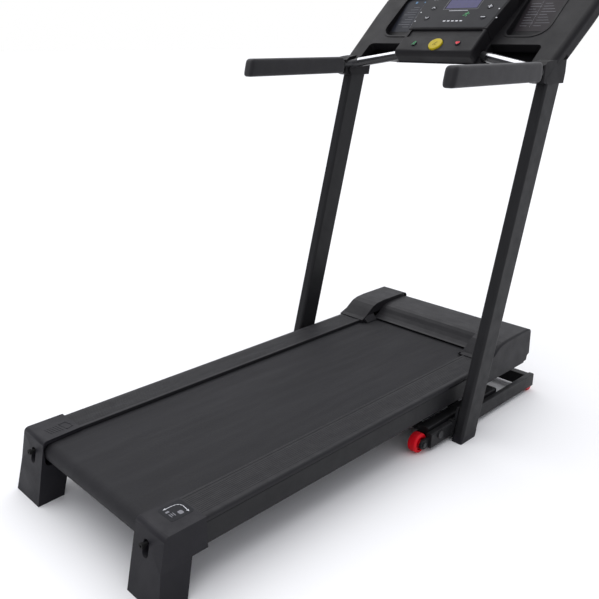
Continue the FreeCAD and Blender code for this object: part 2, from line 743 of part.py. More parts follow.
def motor_controller():
    board = box(100, 226, 1445, 1548, 112, 114)
    sink = box(196, 226, 1450, 1545, 114, 170)
    for k in range(8):
        y = 1456.0 + 11 * k
        sink = sink.cut(box(206, 230, y, y + 6, 120, 175))
    caps = [cyl_z(11.0, 113, 142, 122, 1470), cyl_z(11.0, 113, 142, 122, 1500),
            box(140, 176, 1455, 1495, 113, 140), box(146, 170, 1506, 1536, 113, 128)]
    posts = [box(104, 110, 1449, 1455, 103, 113), box(104, 110, 1538, 1544, 103, 113),
             box(214, 220, 1449, 1455, 103, 113), box(214, 220, 1538, 1544, 103, 113)]
    return joined([board, sink] + caps + posts)


def power_inlet():
    # appliance inlet and switch bezel in the hood's front wall
    x0, x1, z0, z1 = inlet_x, inlet_x + 56.0, 146.0, 200.0
    plate = box(x0, x1, hood_front_y + 4.2, hood_front_y + 7, z0, z1)
    shell = box(x0 + 4, x1 - 4, 1566, hood_front_y + 6, z0 + 4, z1 - 4)
    body = joined([plate, shell])
    body = body.cut(box(x0 + 10, x0 + 32, 1578, hood_front_y + 10, z0 + 9, z1 - 9))
    body = body.cut(box(x1 - 19, x1 - 7, 1570, hood_front_y + 10, 173 - 15, 173 + 15))
    for dz in (-9.0, 9.0):
        body = body.fuse(box(x0 + 20, x0 + 22, 1577, 1590, 173 + dz - 2.5, 173 + dz + 2.5))
    body = body.fuse(box(x0 + 16, x0 + 18, 1577, 1590, 170.5, 175.5))
    hinge = cyl_x(1.5, x1 - 20, x1 - 6, 1583, 173)
    return body.fuse(hinge).removeSplitter()


def power_switch():
    x0, x1 = inlet_x + 37.6, inlet_x + 48.4
    y1 = hood_front_y
    rocker = prism_x([(y1 - 4, 161.5), (y1 + 8, 161.5), (y1 + 11, 163), (y1 + 8, 173), (y1 + 11, 183),
                      (y1 + 8, 184.5), (y1 - 4, 184.5), (1580, 177), (1580, 169)], x0, x1)
    rocker.rotate(V(0, 1583, 173), V(1, 0, 0), -switch_tilt)
    return rocker.cut(cyl_x(1.5 + running_gap, x0 - 1, x1 + 1, 1583, 173))


# ------------------------------------------------------------------ console
def on_console(shape):
    out = shape.copy()
    out.rotate(V(0, 0, 0), V(1, 0, 0), console_slope)
    out.translate(V(0, console_y, console_z))
    return out


def shell_plan(inset, z0, z1):
    low = console_low_s + inset
    top = console_top_s - inset
    out_low = arm_low_outer - inset
    out_mid = arm_outer - 2.0 - inset
    out_top = arm_outer - inset
    side = [(out_low, low), (out_low, 62), (out_mid, 278), (out_top, 354), (out_top - 4, top - 26),
            (out_top - 30, top)]
    pts = side + [(-x, s) for x, s in reversed(side)]
    return prism_z(pts, z0, z1)


def nose_block(sign):
    # low front end of an arm, closed round the upright top
    side = [(1350, 1076), (1350, 1122), (1366, 1132), (1402, 1136), (1478, 1136), (1478, 1100),
            (1472, 1070), (1371, 1070)]
    a, b = sorted((sign * 354.0, sign * (arm_low_outer - 0.5)))
    block = prism_x(side, a, b)
    return rounded(block, 6.0, lambda mid, run: mid.y < 1351 and abs(run.z) > 0.9)


def console_frame():
    body = shell_plan(0, -shell_deep, 0)
    body = rounded(body, 17.0, lambda mid, run: abs(mid.z) < 0.1 and abs(run.z) < 0.1)
    # two tray wells, the dark hand slots below them, and the seat of the control panel
    body = body.cut(box(-seat_half, seat_half, bar_low_s + 9, field_top_s - 6, -shell_deep + 3, 5))
    body = body.cut(box(-seat_half + 6, seat_half - 6, bar_low_s + 15, field_top_s - 14,
                        -shell_deep - 5, 5))
    for sign in (-1, 1):
        a, b = sorted((sign * tray_in, sign * tray_out))
        well = box(a, b, tray_low_s, tray_top_s, -shell_deep - 5, 5)
        well = tray_corners(well, 0.0)
        a, b = sorted((sign * (seat_half + 13), sign * 332.0))
        slot = box(a, b, console_low_s - 5, 120, -shell_deep - 5, 5)
        slot = rounded(slot, 16.0, lambda mid, run: along_z(run) and abs(mid.x) > 300 and mid.y > 100)
        body = body.cut(well).cut(slot)
    # level underside between the arms, then the nose blocks over the upright tops
    tan = math.tan(math.radians(upright_lean))
    body = on_console(body)
    body = body.cut(box(-arm_inner, arm_inner, 1300, 1600, 1000, under_z))
    body = joined([body, nose_block(1), nose_block(-1)])
    # room for the upright tubes, the handlebar tubes and the back shell
    for sign in (-1, 1):
        g = 0.4
        a, b = sorted((sign * (upright_in - g), sign * (upright_in + upright_w + g)))
        y0 = upright_rear_y - g
        y1 = upright_rear_y + upright_depth + g
        z0, z1 = 1060.0, upright_top_z + 0.5
        body = body.cut(prism_x([(y0 + z0 * tan, z0), (y1 + z0 * tan, z0), (y1 + z1 * tan, z1),
                                 (y0 + z1 * tan, z1)], a, b))
    for bar in (handle_room(1), handle_room(-1)):
        body = body.cut(bar)
    return body


def console_back():
    body = shell_plan(3, -back_deep, -shell_deep - touch_gap)
    room = shell_plan(7, -back_deep + 4, -shell_deep + 5)
    for sign in (-1, 1):
        a, b = sorted((sign * arm_inner, sign * 450))
        body = body.cut(box(a, b, console_low_s - 5, back_arm_s, -back_deep - 5, 5))
        a, b = sorted((sign * (arm_inner - 4), sign * 450))
        room = room.cut(box(a, b, console_low_s - 5, back_arm_s + 4, -back_deep - 5, 5))
    body = rounded(body, 12.0, lambda mid, run: abs(mid.z + back_deep) < 0.1 and abs(run.z) < 0.1
                   and mid.y > back_arm_s + 2)
    body = on_console(body).cut(box(-450, 450, 1300, 1600, 1000, under_z))
    room = on_console(room).cut(box(-450, 450, 1300, 1600, 1000, under_z + 4))
    body = body.cut(room)
    for bar in (handle_room(1), handle_room(-1)):
        body = body.cut(bar)
    return body


def control_panel():
    # raised centre moulding: lower button bar, recessed ledge, display field
    w = bar_half
    base_n = 0.3
    bar = prism_x([(bar_low_s, base_n), (bar_low_s - 6, bar_n), (ledge_top_s + 1, bar_n),
                   (ledge_top_s + 1, base_n)], -w, w)
    bar = rounded(bar, 16.0, lambda mid, run: along_x(run) and mid.z > bar_n - 0.1 and mid.y < 40)
    bar = rounded(bar, 6.0, lambda mid, run: abs(abs(mid.x) - w) < 0.1 and mid.z > 1 and mid.y < 130)
    plan = [(w + 1, ledge_top_s), (field_half - 7, 275), (field_half, field_top_s)]
    field = prism_z(plan + [(-x, s) for x, s in reversed(plan)], base_n, field_n)
    field = rounded(field, 12.0, lambda mid, run: along_z(run) and mid.y > 300)
    field = rounded(field, 3.0, lambda mid, run: abs(mid.z - field_n) < 0.1)
    scoop = box(-w + 11, w - 9, ledge_low_s, ledge_top_s - 1, bar_n - 5, bar_n + 5)
    scoop = rounded(scoop, 10.0, lambda mid, run: along_z(run) and mid.x > 0)
    body = joined([bar, field]).cut(scoop)
    inside = box(-w + 8, w - 8, bar_low_s + 6, field_top_s - 6, -10, bar_n - 8)
    deeper = box(-w + 8, w - 8, ledge_top_s + 8, field_top_s - 6, -10, field_n - 8)
    body = body.cut(inside).cut(deeper)
    # window for the display, pockets for keys
    body = body.cut(box(-62, 62, window_low_s, window_top_s, -5, field_n + 5))
    for x, s, r in key_spots():
        body = body.cut(cyl_z(r + 0.5, -5, field_n + 5, x, s))
    body = body.cut(cyl_z(26.3, bar_n - 4, bar_n + 5, 0, safety_s))
    body = on_console(body)
    for bar in (handle_room(1), handle_room(-1)):
        body = body.cut(bar)
    return body


def key_spots():
    # x, s, radius of start, stop, speed up, speed down, incline up, incline down
    return [(-86.0, 64.0, 9.5), (80.0, 68.0, 9.5), (108.0, 236.0, 10.5), (108.0, 186.0, 10.5),
            (-108.0, 236.0, 10.5), (-108.0, 186.0, 10.5)]


def key(index, proud):
    x, s, r = key_spots()[index]
    top = bar_n if index < 2 else field_n
    cap = cyl_z(r, top - 9.0, top + proud, x, s)
    cap = soft_rims(cap, 1.2, top + proud - 0.1)
    skirt = cyl_z(r + 2.0, top - 11.0, top - 9.0, x, s)
    return on_console(joined([cap, skirt]))


def key_overlay():
    # thin printed keypad sheet on the display field
    plan = [(bar_half - 6, ledge_top_s + 5), (field_half - 13, 275), (field_half - 6, field_top_s - 6)]
    sheet = prism_z(plan + [(-x, s) for x, s in reversed(plan)], field_n, field_n + 0.8)
    sheet = rounded(sheet, 9.0, lambda mid, run: along_z(run))
    sheet = sheet.cut(box(-60, 60, window_low_s + 2, window_top_s - 2, field_n - 5, field_n + 5))
    for x, s, r in key_spots()[2:]:
        sheet = sheet.cut(cyl_z(r + 0.5, field_n - 5, field_n + 5, x, s))
    return on_console(sheet)


def lcd_window():
    n0 = field_n
    low, top = window_low_s, window_top_s
    glass = box(-59.6, 59.6, low + 2.4, top - 2.4, n0 - 2.2, n0 + 0.6)
    flange = box(-61.6, 61.6, low + 0.4, top - 0.4, n0 - 5.0, n0 - 2.2)
    return on_console(joined([glass, flange]))


def display_board():
    # circuit board with its display block, on the field behind the window
    n = field_n - 18.0
    board = box(-120, 120, 154, 344, n, n + 1.6)
    block = box(-56, 56, window_low_s + 6, window_top_s - 6, n + 1.6, n + 9.5)
    chips = [box(-110, -90, 160, 200, n - 4, n), box(60, 84, 165, 189, n - 3, n),
             box(-30, 0, 170, 182, n - 3.5, n)]
    legs = [box(x - 4, x + 4, s - 4, s + 4, n + 1.6, field_n - 8) for x in (-114, 114) for s in (160, 338)]
    return on_console(joined([board, block] + chips + legs))


def tray_corners(block, inset):
    # large lower outer corner, three small ones
    big = 54.0 - inset
    small = 24.0 - inset
    out = rounded(block, big, lambda mid, run: along_z(run) and abs(mid.x) > 260 and mid.y < 220)
    return rounded(out, small, lambda mid, run: along_z(run) and (mid.y > 300 or abs(mid.x) < 200))


def tray(sign):
    # dished liner, open at the top, with a sloping floor
    inset = 0.6
    a, b = sorted((sign * (tray_in + inset), sign * (tray_out - inset)))
    lo, hi = tray_low_s + inset, tray_top_s - inset
    body = box(a, b, lo, hi, -26.0, 1.2)
    body = tray_corners(body, inset)
    rim = box(a - 4, b + 4, lo - 4, hi + 4, 0.2, 1.8)
    rim = tray_corners(rim, -3.0)
    floor_low = -22.0
    floor_high = -5.0
    cut = Part.Face(Part.makePolygon([V(a + 2.5, lo + 2.5, 5), V(a + 2.5, lo + 2.5, floor_low),
                                      V(a + 2.5, lo + 40, floor_low), V(a + 2.5, hi - 2.5, floor_high),
                                      V(a + 2.5, hi - 2.5, 5), V(a + 2.5, lo + 2.5, 5)]))
    cut = cut.extrude(V(b - a - 5, 0, 0))
    cut = tray_corners(cut, 3.0)
    return on_console(joined([body, rim]).cut(cut))


def safety_key():
    disc = cyl_z(24.0, bar_n - 3.5, bar_n + 5.0, 0, safety_s)
    disc = soft_rims(disc, 2.5, bar_n + 4)
    return on_console(disc)


# ------------------------------------------------------------------ handles
def handle_points(sign):
    return [V(sign * grip_x, grip_rear_y + 14, grip_mid_z), V(sign * grip_x, 1352, grip_mid_z),
            V(sign * 345.0, 1377, 1110), V(sign * 150.0, 1419, 1143)]


def handle_path(r, sign):
    pts = handle_points(sign)
    out = None
    for first, last in zip(pts[:-1], pts[1:]):
        run = last.sub(first)
        rod = Part.makeCylinder(r, run.Length, first, run)
        out = rod if out is None else out.fuse(rod)
    for p in pts[1:-1]:
        out = out.fuse(Part.makeSphere(r, p))
    return out


def handle_room(sign):
    # clearance cut for the bar, wider where the metal sleeve covers it
    pts = handle_points(sign)
    run = pts[3].sub(pts[2])
    sleeve = Part.makeCylinder(pulse_r + 0.5, run.Length + 10, pts[2], run)
    return handle_path(bar_r + 0.3, sign).fuse(sleeve)


def handlebar(sign):
    bar = handle_path(bar_r, sign).removeSplitter()
    collar = cyl_y(grip_h / 2.0 - 8.0, grip_front_y + 1, grip_front_y + 5, sign * grip_x, grip_mid_z)
    return bar.fuse(collar).removeSplitter()


def grip(sign):
    # rounded rectangular foam sleeve with a slanting rear end
    x0, x1 = sign * grip_x - grip_w / 2.0, sign * grip_x + grip_w / 2.0
    z0, z1 = grip_mid_z - grip_h / 2.0, grip_mid_z + grip_h / 2.0
    side = [(grip_rear_y - 8, z0 + 5), (grip_front_y, z0), (grip_front_y, z1), (grip_rear_y + 6, z1)]
    body = prism_x(side, x0, x1)
    body = rounded(body, 12.0, lambda mid, run: along_y(run))
    body = rounded(body, 7.0, lambda mid, run: mid.y < grip_rear_y + 8)
    return body.cut(cyl_y(bar_r + touch_gap, grip_rear_y + 13, grip_front_y + 5, sign * grip_x, grip_mid_z))


def pulse_bars():
    # metal contact sleeves on the sloping part of the handlebar
    sleeves = []
    for sign in (-1, 1):
        pts = handle_points(sign)
        run = pts[3].sub(pts[2])
        unit = V(run.x, run.y, run.z)
        unit.normalize()
        a = pts[2].add(unit * 22.0)
        size = run.Length - 48.0
        tube = Part.makeCylinder(pulse_r, size, a, unit)
        tube = tube.cut(Part.makeCylinder(bar_r + touch_gap, size + 10, a.sub(unit * 5.0), unit))
        middle = a.add(unit * (size / 2.0))
        joint = Part.makeBox(size - 16, 1.4, 40, V(-(size - 16) / 2.0, -0.7, 0))
        yaw = math.degrees(math.atan2(unit.y, unit.x))
        joint.rotate(V(0, 0, 0), V(0, 0, 1), yaw)
        pitch = math.degrees(math.asin(unit.z))
        axis = V(unit.y, -unit.x, 0)
        joint.rotate(V(0, 0, 0), axis, pitch)
        joint.translate(middle)
        sleeves.append(tube.cut(joint))
    return group(sleeves)


def main():
    os.makedirs("parts", exist_ok=True)
    right = base_beam()
    save("base_beam_right", right)
    save("base_beam_left", mirrored(right))
    save("base_cross_tubes", base_cross_tubes())
    right = upright()
    save("upright_right", right)
    save("upright_left", mirrored(right))
    foot = upright_foot()
    save("upright_feet", group([foot, mirrored(foot)]))
    save("base_bolts", base_bolts())
    right = rear_wheel()
    save("rear_wheel_right", right)
    save("rear_wheel_left", mirrored(right))
    right = front_wheel()
    save("front_wheel_right", right)
    save("front_wheel_left", mirrored(right))
    right = lift_arm()
    save("lift_arm_right", right)
    save("lift_arm_left", mirrored(right))
    save("lift_cross", lift_cross())
    save("fold_pins", fold_pins())
    save("actuator_body", actuator_body())
    save("actuator_rod", actuator_rod())
    right = deck_side()
    save("deck_side_right", right)
    save("deck_side_left", mirrored(right))
    save("deck_cross_tubes", deck_cross_tubes())
    save("running_board", running_board())
    save("deck_cushions", deck_cushions())
    save("walking_belt", walking_belt())
    save("front_roller", roller(front_roller_y, True))
    save("rear_roller", roller(rear_roller_y, False))
    save("roller_axles", roller_axles())
    save("tension_bolts", tension_bolts())
    right = foot_rail()
    save("foot_rail_right", right)
    save("foot_rail_left", mirrored(right))
    right = rear_cap()
    save("rear_cap_right", right)
    save("rear_cap_left", mirrored(right))
    right = hood_cap()
    save("hood_cap_right", right)
    save("hood_cap_left", mirrored(right))
    save("hood_centre", hood_centre())
    save("belly_pan", belly_pan())
    save("drive_motor", drive_motor())
    save("flywheel", flywheel())
    save("drive_belt", drive_belt())
    save("motor_controller", motor_controller())
    save("power_inlet", power_inlet())
    save("power_switch", power_switch())
    save("console_frame", console_frame())
    save("console_back", console_back())
    save("control_panel", control_panel())
    save("key_overlay", key_overlay())
    save("lcd_window", lcd_window())
    save("display_board", display_board())
    save("console_trays", group([tray(1), tray(-1)]))
    names = ["start_button", "stop_button", "speed_up_key", "speed_down_key", "incline_up_key",
             "incline_down_key"]
    for index, name in enumerate(names):
        save(name, key(index, 3.0 if index < 2 else 2.0))
    save("safety_key", safety_key())
    for sign, side in ((1, "right"), (-1, "left")):
        save("handlebar_" + side, handlebar(sign))
        save("grip_" + side, grip(sign))
    save("pulse_bars", pulse_bars())


main()
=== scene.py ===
import math

import bmesh
import bpy
from mathutils import Matrix, Vector


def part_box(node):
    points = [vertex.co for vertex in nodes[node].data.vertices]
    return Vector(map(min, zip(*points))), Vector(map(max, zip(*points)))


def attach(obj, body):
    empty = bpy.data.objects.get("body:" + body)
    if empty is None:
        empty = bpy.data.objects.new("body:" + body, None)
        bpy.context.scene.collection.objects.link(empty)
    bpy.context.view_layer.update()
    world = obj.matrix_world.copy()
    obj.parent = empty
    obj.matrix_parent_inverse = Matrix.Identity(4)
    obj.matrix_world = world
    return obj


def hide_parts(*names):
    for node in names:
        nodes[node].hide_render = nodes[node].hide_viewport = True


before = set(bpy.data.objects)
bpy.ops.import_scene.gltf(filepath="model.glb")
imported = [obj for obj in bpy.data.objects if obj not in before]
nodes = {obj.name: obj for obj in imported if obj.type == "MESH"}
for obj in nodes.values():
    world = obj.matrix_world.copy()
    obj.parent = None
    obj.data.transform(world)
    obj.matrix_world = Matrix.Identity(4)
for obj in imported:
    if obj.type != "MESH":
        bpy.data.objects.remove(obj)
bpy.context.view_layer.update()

# ---------------------------------------------------------------- places
HALF_LENGTH = 0.8476            # the part's origin is the middle of its footprint
CONSOLE_Y = 1.360 - HALF_LENGTH
CONSOLE_Z = 1.100
SLOPE = math.radians(40.0)
BAR_N = 46.4                    # lower button bar above the shell, mm
FIELD_N = 49.0                  # display field above the shell, mm


def place(x, y, z):
    """Millimetres with Y from the rear feet, to metres in the part's frame."""
    return Vector((x / 1000.0, y / 1000.0 - HALF_LENGTH, z / 1000.0))


def on_console(x, s, n):
    """x across, s up the slope, n out of the console, all in millimetres."""
    s, n = s / 1000.0, n / 1000.0
    return Vector((x / 1000.0, CONSOLE_Y + s * math.cos(SLOPE) - n * math.sin(SLOPE),
                   CONSOLE_Z + s * math.sin(SLOPE) + n * math.cos(SLOPE)))


# ---------------------------------------------------------------- materials
def add(tree, kind, props=None, **values):
    node = tree.nodes.new(kind)
    for key, value in (props or {}).items():
        setattr(node, key, value)
    for key, value in values.items():
        socket = node.inputs[key.replace("_", " ")]
        if isinstance(value, bpy.types.NodeSocket):
            tree.links.new(value, socket)
        else:
            socket.default_value = value
    return node


def rgba(colour, gain=1.0):
    return tuple(max(0.0, c * gain) for c in colour[:3]) + (1.0,)


def noise(tree, coords, scale, detail=2.0, rough=0.5):
    return add(tree, "ShaderNodeTexNoise", Vector=coords, Scale=scale, Detail=detail,
               Roughness=rough).outputs["Fac"]


def stretched(tree, coords, scale):
    return add(tree, "ShaderNodeMapping", Vector=coords, Scale=scale).outputs["Vector"]


def remap(tree, value, low, high, start=0.3, end=0.7):
    return add(tree, "ShaderNodeMapRange", Value=value, From_Min=start, From_Max=end,
               To_Min=low, To_Max=high).outputs["Result"]


def blend_colours(tree, factor, a, b, mode="MIX"):
    mix = add(tree, "ShaderNodeMix", {"data_type": "RGBA", "blend_type": mode})
    for socket, value in ((0, factor), (6, a), (7, b)):
        if isinstance(value, bpy.types.NodeSocket):
            tree.links.new(value, mix.inputs[socket])
        else:
            mix.inputs[socket].default_value = value
    return mix.outputs[2]


def bumped(tree, height, distance, strength=1.0, below=None):
    values = dict(Height=height, Distance=distance, Strength=strength)
    if below is not None:
        values["Normal"] = below
    return add(tree, "ShaderNodeBump", **values).outputs["Normal"]


DULL = 0.35                     # share of the usual gloss on paint, plastic and foam


def surface(name, colour, rough, metal=0.0, mottle=0.12, mottle_scale=14.0, streak=None,
            grain_scale=900.0, grain=0.00006, speck=0.10, wave=0.0, wave_scale=60.0,
            rough_spread=0.06, coat=0.0, coat_rough=0.1, sheen=0.0, specular=0.5, dust=0.0,
            extra=None):
    """A moulded, painted or metal surface: mottled colour, uneven gloss and a fine grain."""
    material = bpy.data.materials.new(name)
    material.use_nodes = True
    tree = material.node_tree
    shader = tree.nodes["Principled BSDF"]
    coords = add(tree, "ShaderNodeTexCoord").outputs["Object"]
    wide = stretched(tree, coords, streak) if streak else coords
    cloud = noise(tree, wide, mottle_scale, 4.0, 0.55)
    fine = noise(tree, coords, grain_scale, 2.0, 0.6)
    tint = blend_colours(tree, remap(tree, cloud, 0.0, 1.0), rgba(colour, 1.0 - mottle),
                         rgba(colour, 1.0 + mottle))
    speckled = blend_colours(tree, remap(tree, fine, 0.0, speck), tint, rgba(colour, 1.9))
    if dust:
        facing = add(tree, "ShaderNodeSeparateXYZ",
                     Vector=add(tree, "ShaderNodeNewGeometry").outputs["Normal"]).outputs["Z"]
        settled = add(tree, "ShaderNodeMath", {"operation": "MULTIPLY"})
        tree.links.new(remap(tree, facing, 0.0, dust, 0.4, 1.0), settled.inputs[0])
        tree.links.new(remap(tree, noise(tree, coords, 38.0, 5.0, 0.65), 0.2, 1.0),
                       settled.inputs[1])
        speckled = blend_colours(tree, settled.outputs[0], speckled, (0.22, 0.22, 0.22, 1.0))
    if extra:
        speckled = extra(tree, coords, speckled)
    tree.links.new(speckled, shader.inputs["Base Color"])
    tree.links.new(remap(tree, noise(tree, wide, mottle_scale * 2.3, 3.0), rough - rough_spread,
                         rough + rough_spread), shader.inputs["Roughness"])
    normal = bumped(tree, fine, grain, 0.9)
    if wave:
        normal = bumped(tree, noise(tree, coords, wave_scale, 2.0), wave, 0.6, normal)
    tree.links.new(normal, shader.inputs["Normal"])
    shader.inputs["Metallic"].default_value = metal
    shader.inputs["Coat Weight"].default_value = coat
    shader.inputs["Coat Roughness"].default_value = coat_rough
    shader.inputs["Sheen Weight"].default_value = sheen
    shader.inputs["Sheen Roughness"].default_value = 0.5
    dull = 1.0 if metal else DULL
    shader.inputs["Specular IOR Level"].default_value = specular * dull
    return material


def belt_surface():
    """Running belt: matt PVC with a fine crossed weave and faint lengthwise wear."""
    material = surface("belt_pvc", (0.0200, 0.0197, 0.0218), 0.62, mottle=0.10, mottle_scale=5.0,
                       streak=(3.0, 0.35, 3.0), grain_scale=420.0, grain=0.00012, speck=0.14,
                       rough_spread=0.05, specular=0.42)
    tree = material.node_tree
    shader = tree.nodes["Principled BSDF"]
    below = shader.inputs["Normal"].links[0].from_socket
    coords = [n for n in tree.nodes if n.bl_idname == "ShaderNodeTexCoord"][0].outputs["Object"]
    height = None
    for angle in (45.0, -45.0):
        turned = add(tree, "ShaderNodeMapping", Vector=coords,
                     Rotation=(0.0, 0.0, math.radians(angle))).outputs["Vector"]
        wave = add(tree, "ShaderNodeTexWave", {"bands_direction": "X"}, Vector=turned,
                   Scale=190.0, Distortion=0.0).outputs["Fac"]
        if height is None:
            height = wave
        else:
            both = add(tree, "ShaderNodeMath", {"operation": "MULTIPLY"})
            tree.links.new(height, both.inputs[0])
            tree.links.new(wave, both.inputs[1])
            height = both.outputs[0]
    tree.links.new(bumped(tree, height, 0.00025, 0.8, below), shader.inputs["Normal"])
    return material


def foam_surface():
    """Closed-cell foam: soft sheen, small open pores on a smooth skin."""
    material = surface("foam_grip", (0.0155, 0.0150, 0.0170), 0.66, mottle=0.10, mottle_scale=22.0,
                       grain_scale=1400.0, grain=0.00010, speck=0.12, rough_spread=0.07,
                       sheen=0.25, specular=0.38)
    tree = material.node_tree
    shader = tree.nodes["Principled BSDF"]
    below = shader.inputs["Normal"].links[0].from_socket
    coords = [n for n in tree.nodes if n.bl_idname == "ShaderNodeTexCoord"][0].outputs["Object"]
    cells = add(tree, "ShaderNodeTexVoronoi", Vector=coords, Scale=650.0).outputs["Distance"]
    pores = remap(tree, cells, 0.0, 1.0, 0.0, 0.35)
    tree.links.new(bumped(tree, pores, 0.00010, 0.7, below), shader.inputs["Normal"])
    return material


def sleeve_surface():
    """Handrail sleeve: polished metal plate on top, black moulding underneath."""
    material = surface("chrome", (0.62, 0.62, 0.64), 0.22, metal=1.0, mottle=0.05,
                       mottle_scale=40.0, streak=(0.4, 3.0, 3.0), grain_scale=2500.0,
                       grain=0.00002, speck=0.04, rough_spread=0.05)
    tree = material.node_tree
    shader = tree.nodes["Principled BSDF"]
    tone = shader.inputs["Base Color"].links[0].from_socket
    facing = add(tree, "ShaderNodeSeparateXYZ",
                 Vector=add(tree, "ShaderNodeNewGeometry").outputs["Normal"]).outputs["Z"]
    plate = remap(tree, facing, 0.0, 1.0, 0.40, 0.46)
    tree.links.new(blend_colours(tree, plate, (0.008, 0.008, 0.009, 1.0), tone),
                   shader.inputs["Base Color"])
    tree.links.new(plate, shader.inputs["Metallic"])
    return material


M = {
    "frame_paint": surface("frame_paint", (0.013, 0.013, 0.0142), 0.44, mottle=0.10,
                           grain_scale=700.0, grain=0.00010, wave=0.00010, wave_scale=240.0,
                           specular=0.5, dust=0.04),
    "plastic_dark": surface("plastic_dark", (0.0125, 0.0120, 0.0150), 0.50, mottle=0.10,
                            mottle_scale=9.0, grain_scale=1100.0, grain=0.00016, speck=0.12,
                            specular=0.45, dust=0.05),
    "shell_plastic": surface("shell_plastic", (0.0075, 0.0070, 0.0082), 0.50, mottle=0.08,
                             mottle_scale=7.0, grain_scale=1500.0, grain=0.00010, speck=0.08,
                             specular=0.5, dust=0.03),
    "hood_plastic": surface("hood_plastic", (0.0145, 0.0140, 0.0160), 0.46, mottle=0.09,
                            mottle_scale=8.0, grain_scale=1000.0, grain=0.00014, speck=0.12,
                            specular=0.5, dust=0.05),
    "rail_plastic": surface("rail_plastic", (0.0155, 0.0152, 0.0172), 0.50, mottle=0.12,
                            mottle_scale=6.0, streak=(6.0, 0.5, 6.0), grain_scale=900.0,
                            grain=0.00014, speck=0.14, specular=0.45, dust=0.06),
    "plastic_gloss": surface("plastic_gloss", (0.0085, 0.009, 0.012), 0.36, mottle=0.10,
                             mottle_scale=12.0, grain_scale=2200.0, grain=0.00003, speck=0.05,
                             rough_spread=0.05, specular=0.32),
    "belt_pvc": belt_surface(),
    "rubber_dark": surface("rubber_dark", (0.020, 0.020, 0.020), 0.72, grain_scale=500.0,
                           grain=0.0002),
    "foam_grip": foam_surface(),
    "wheel_red": surface("wheel_red", (0.62, 0.003, 0.012), 0.42, mottle=0.10, mottle_scale=40.0,
                         grain_scale=1200.0, grain=0.00008, speck=0.03, wave=0.00005,
                         dust=0.05, specular=0.5),
    "steel": surface("steel", (0.50, 0.50, 0.51), 0.34, metal=1.0, mottle=0.10,
                     mottle_scale=45.0, grain_scale=1600.0, grain=0.00005, rough_spread=0.08),
    "black_steel": surface("black_steel", (0.030, 0.030, 0.032), 0.40, metal=0.4, mottle=0.12,
                           mottle_scale=30.0, grain_scale=1300.0, grain=0.00006),
    "chrome": sleeve_surface(),
    "aluminium": surface("aluminium", (0.60, 0.60, 0.62), 0.35, metal=1.0, grain_scale=1200.0,
                         grain=0.00005),
    "wood": surface("wood", (0.20, 0.13, 0.075), 0.5, mottle=0.3, mottle_scale=30.0,
                    streak=(1.0, 0.15, 4.0), grain_scale=500.0, grain=0.0002, speck=0.2),
    "display": surface("display", (0.072, 0.068, 0.150), 0.34, mottle=0.05, mottle_scale=10.0,
                       grain_scale=3000.0, grain=0.00001, speck=0.04, rough_spread=0.03,
                       specular=0.3),
    "display_ink": surface("display_ink", (0.060, 0.058, 0.110), 0.35, grain=0.00002),
    "board_green": surface("board_green", (0.02, 0.14, 0.06), 0.3, grain_scale=400.0),
    "yellow": surface("yellow", (0.46, 0.36, 0.012), 0.40, mottle=0.08, mottle_scale=60.0,
                      grain_scale=1300.0, grain=0.00006, speck=0.04),
    "key_green": surface("key_green", (0.05, 0.33, 0.12), 0.38, grain_scale=1300.0),
    "key_red": surface("key_red", (0.62, 0.035, 0.05), 0.38, grain_scale=1300.0),
    "print_white": surface("print_white", (0.62, 0.63, 0.66), 0.45, mottle=0.08,
                           grain_scale=1200.0, grain=0.00004, speck=0.05),
    "print_grey": surface("print_grey", (0.19, 0.19, 0.21), 0.45, mottle=0.12,
                          grain_scale=1200.0, grain=0.00004),
    "print_blue": surface("print_blue", (0.10, 0.22, 0.38), 0.4, mottle=0.12),
    "print_green": surface("print_green", (0.07, 0.34, 0.13), 0.4, mottle=0.12),
    "sticker_cool": surface("sticker_cool", (0.016, 0.018, 0.025), 0.34, mottle=0.22,
                            mottle_scale=16.0, grain_scale=2200.0, grain=0.00003, specular=0.4),
    "sticker_warm": surface("sticker_warm", (0.022, 0.018, 0.021), 0.34, mottle=0.25,
                            mottle_scale=16.0, grain_scale=2200.0, grain=0.00003, specular=0.4),
    # near-black: painted shade on the tension bolts, which stand in for the dark inside of the rear
    # caps' slots; also the safety key's printed mark
    "slot_shade_and_print_black": surface("slot_shade_and_print_black", (0.006, 0.006, 0.006), 0.7, mottle=0.2),
}

by_node = {
    "frame_paint": ["base_beam_left", "base_beam_right", "base_cross_tubes", "upright_left",
                    "upright_right", "lift_arm_left", "lift_arm_right", "lift_cross",
                    "deck_side_left", "deck_side_right", "deck_cross_tubes"],
    "black_steel": ["handlebar_left", "handlebar_right", "base_bolts", "fold_pins",
                    "actuator_body", "drive_motor"],
    # tension bolts painted near-black as painted shade of the slots they sit in
    "slot_shade_and_print_black": ["tension_bolts"],
    "plastic_dark": ["upright_feet", "belly_pan", "power_inlet", "power_switch",
                     "rear_cap_left", "rear_cap_right"],
    "hood_plastic": ["hood_centre", "hood_cap_left", "hood_cap_right"],
    "rail_plastic": ["foot_rail_left", "foot_rail_right"],
    "shell_plastic": ["console_frame", "console_back", "control_panel", "console_trays"],
    "plastic_gloss": ["key_overlay", "speed_up_key", "speed_down_key", "incline_up_key",
                      "incline_down_key", "start_button", "stop_button"],
    "belt_pvc": ["walking_belt"],
    "rubber_dark": ["deck_cushions", "drive_belt"],
    "wheel_red": ["rear_wheel_left", "rear_wheel_right", "front_wheel_left",
                  "front_wheel_right"],
    "steel": ["actuator_rod", "front_roller", "rear_roller", "roller_axles", "flywheel"],
    "chrome": ["pulse_bars"],
    "aluminium": ["motor_controller"],
    "wood": ["running_board"],
    "display": ["lcd_window"],
    "board_green": ["display_board"],
    "yellow": ["safety_key"],
    "foam_grip": ["grip_left", "grip_right"],
}
for slot_name, members in by_node.items():
    for member in members:
        data = nodes[member].data
        data.materials.clear()
        data.materials.append(M[slot_name])


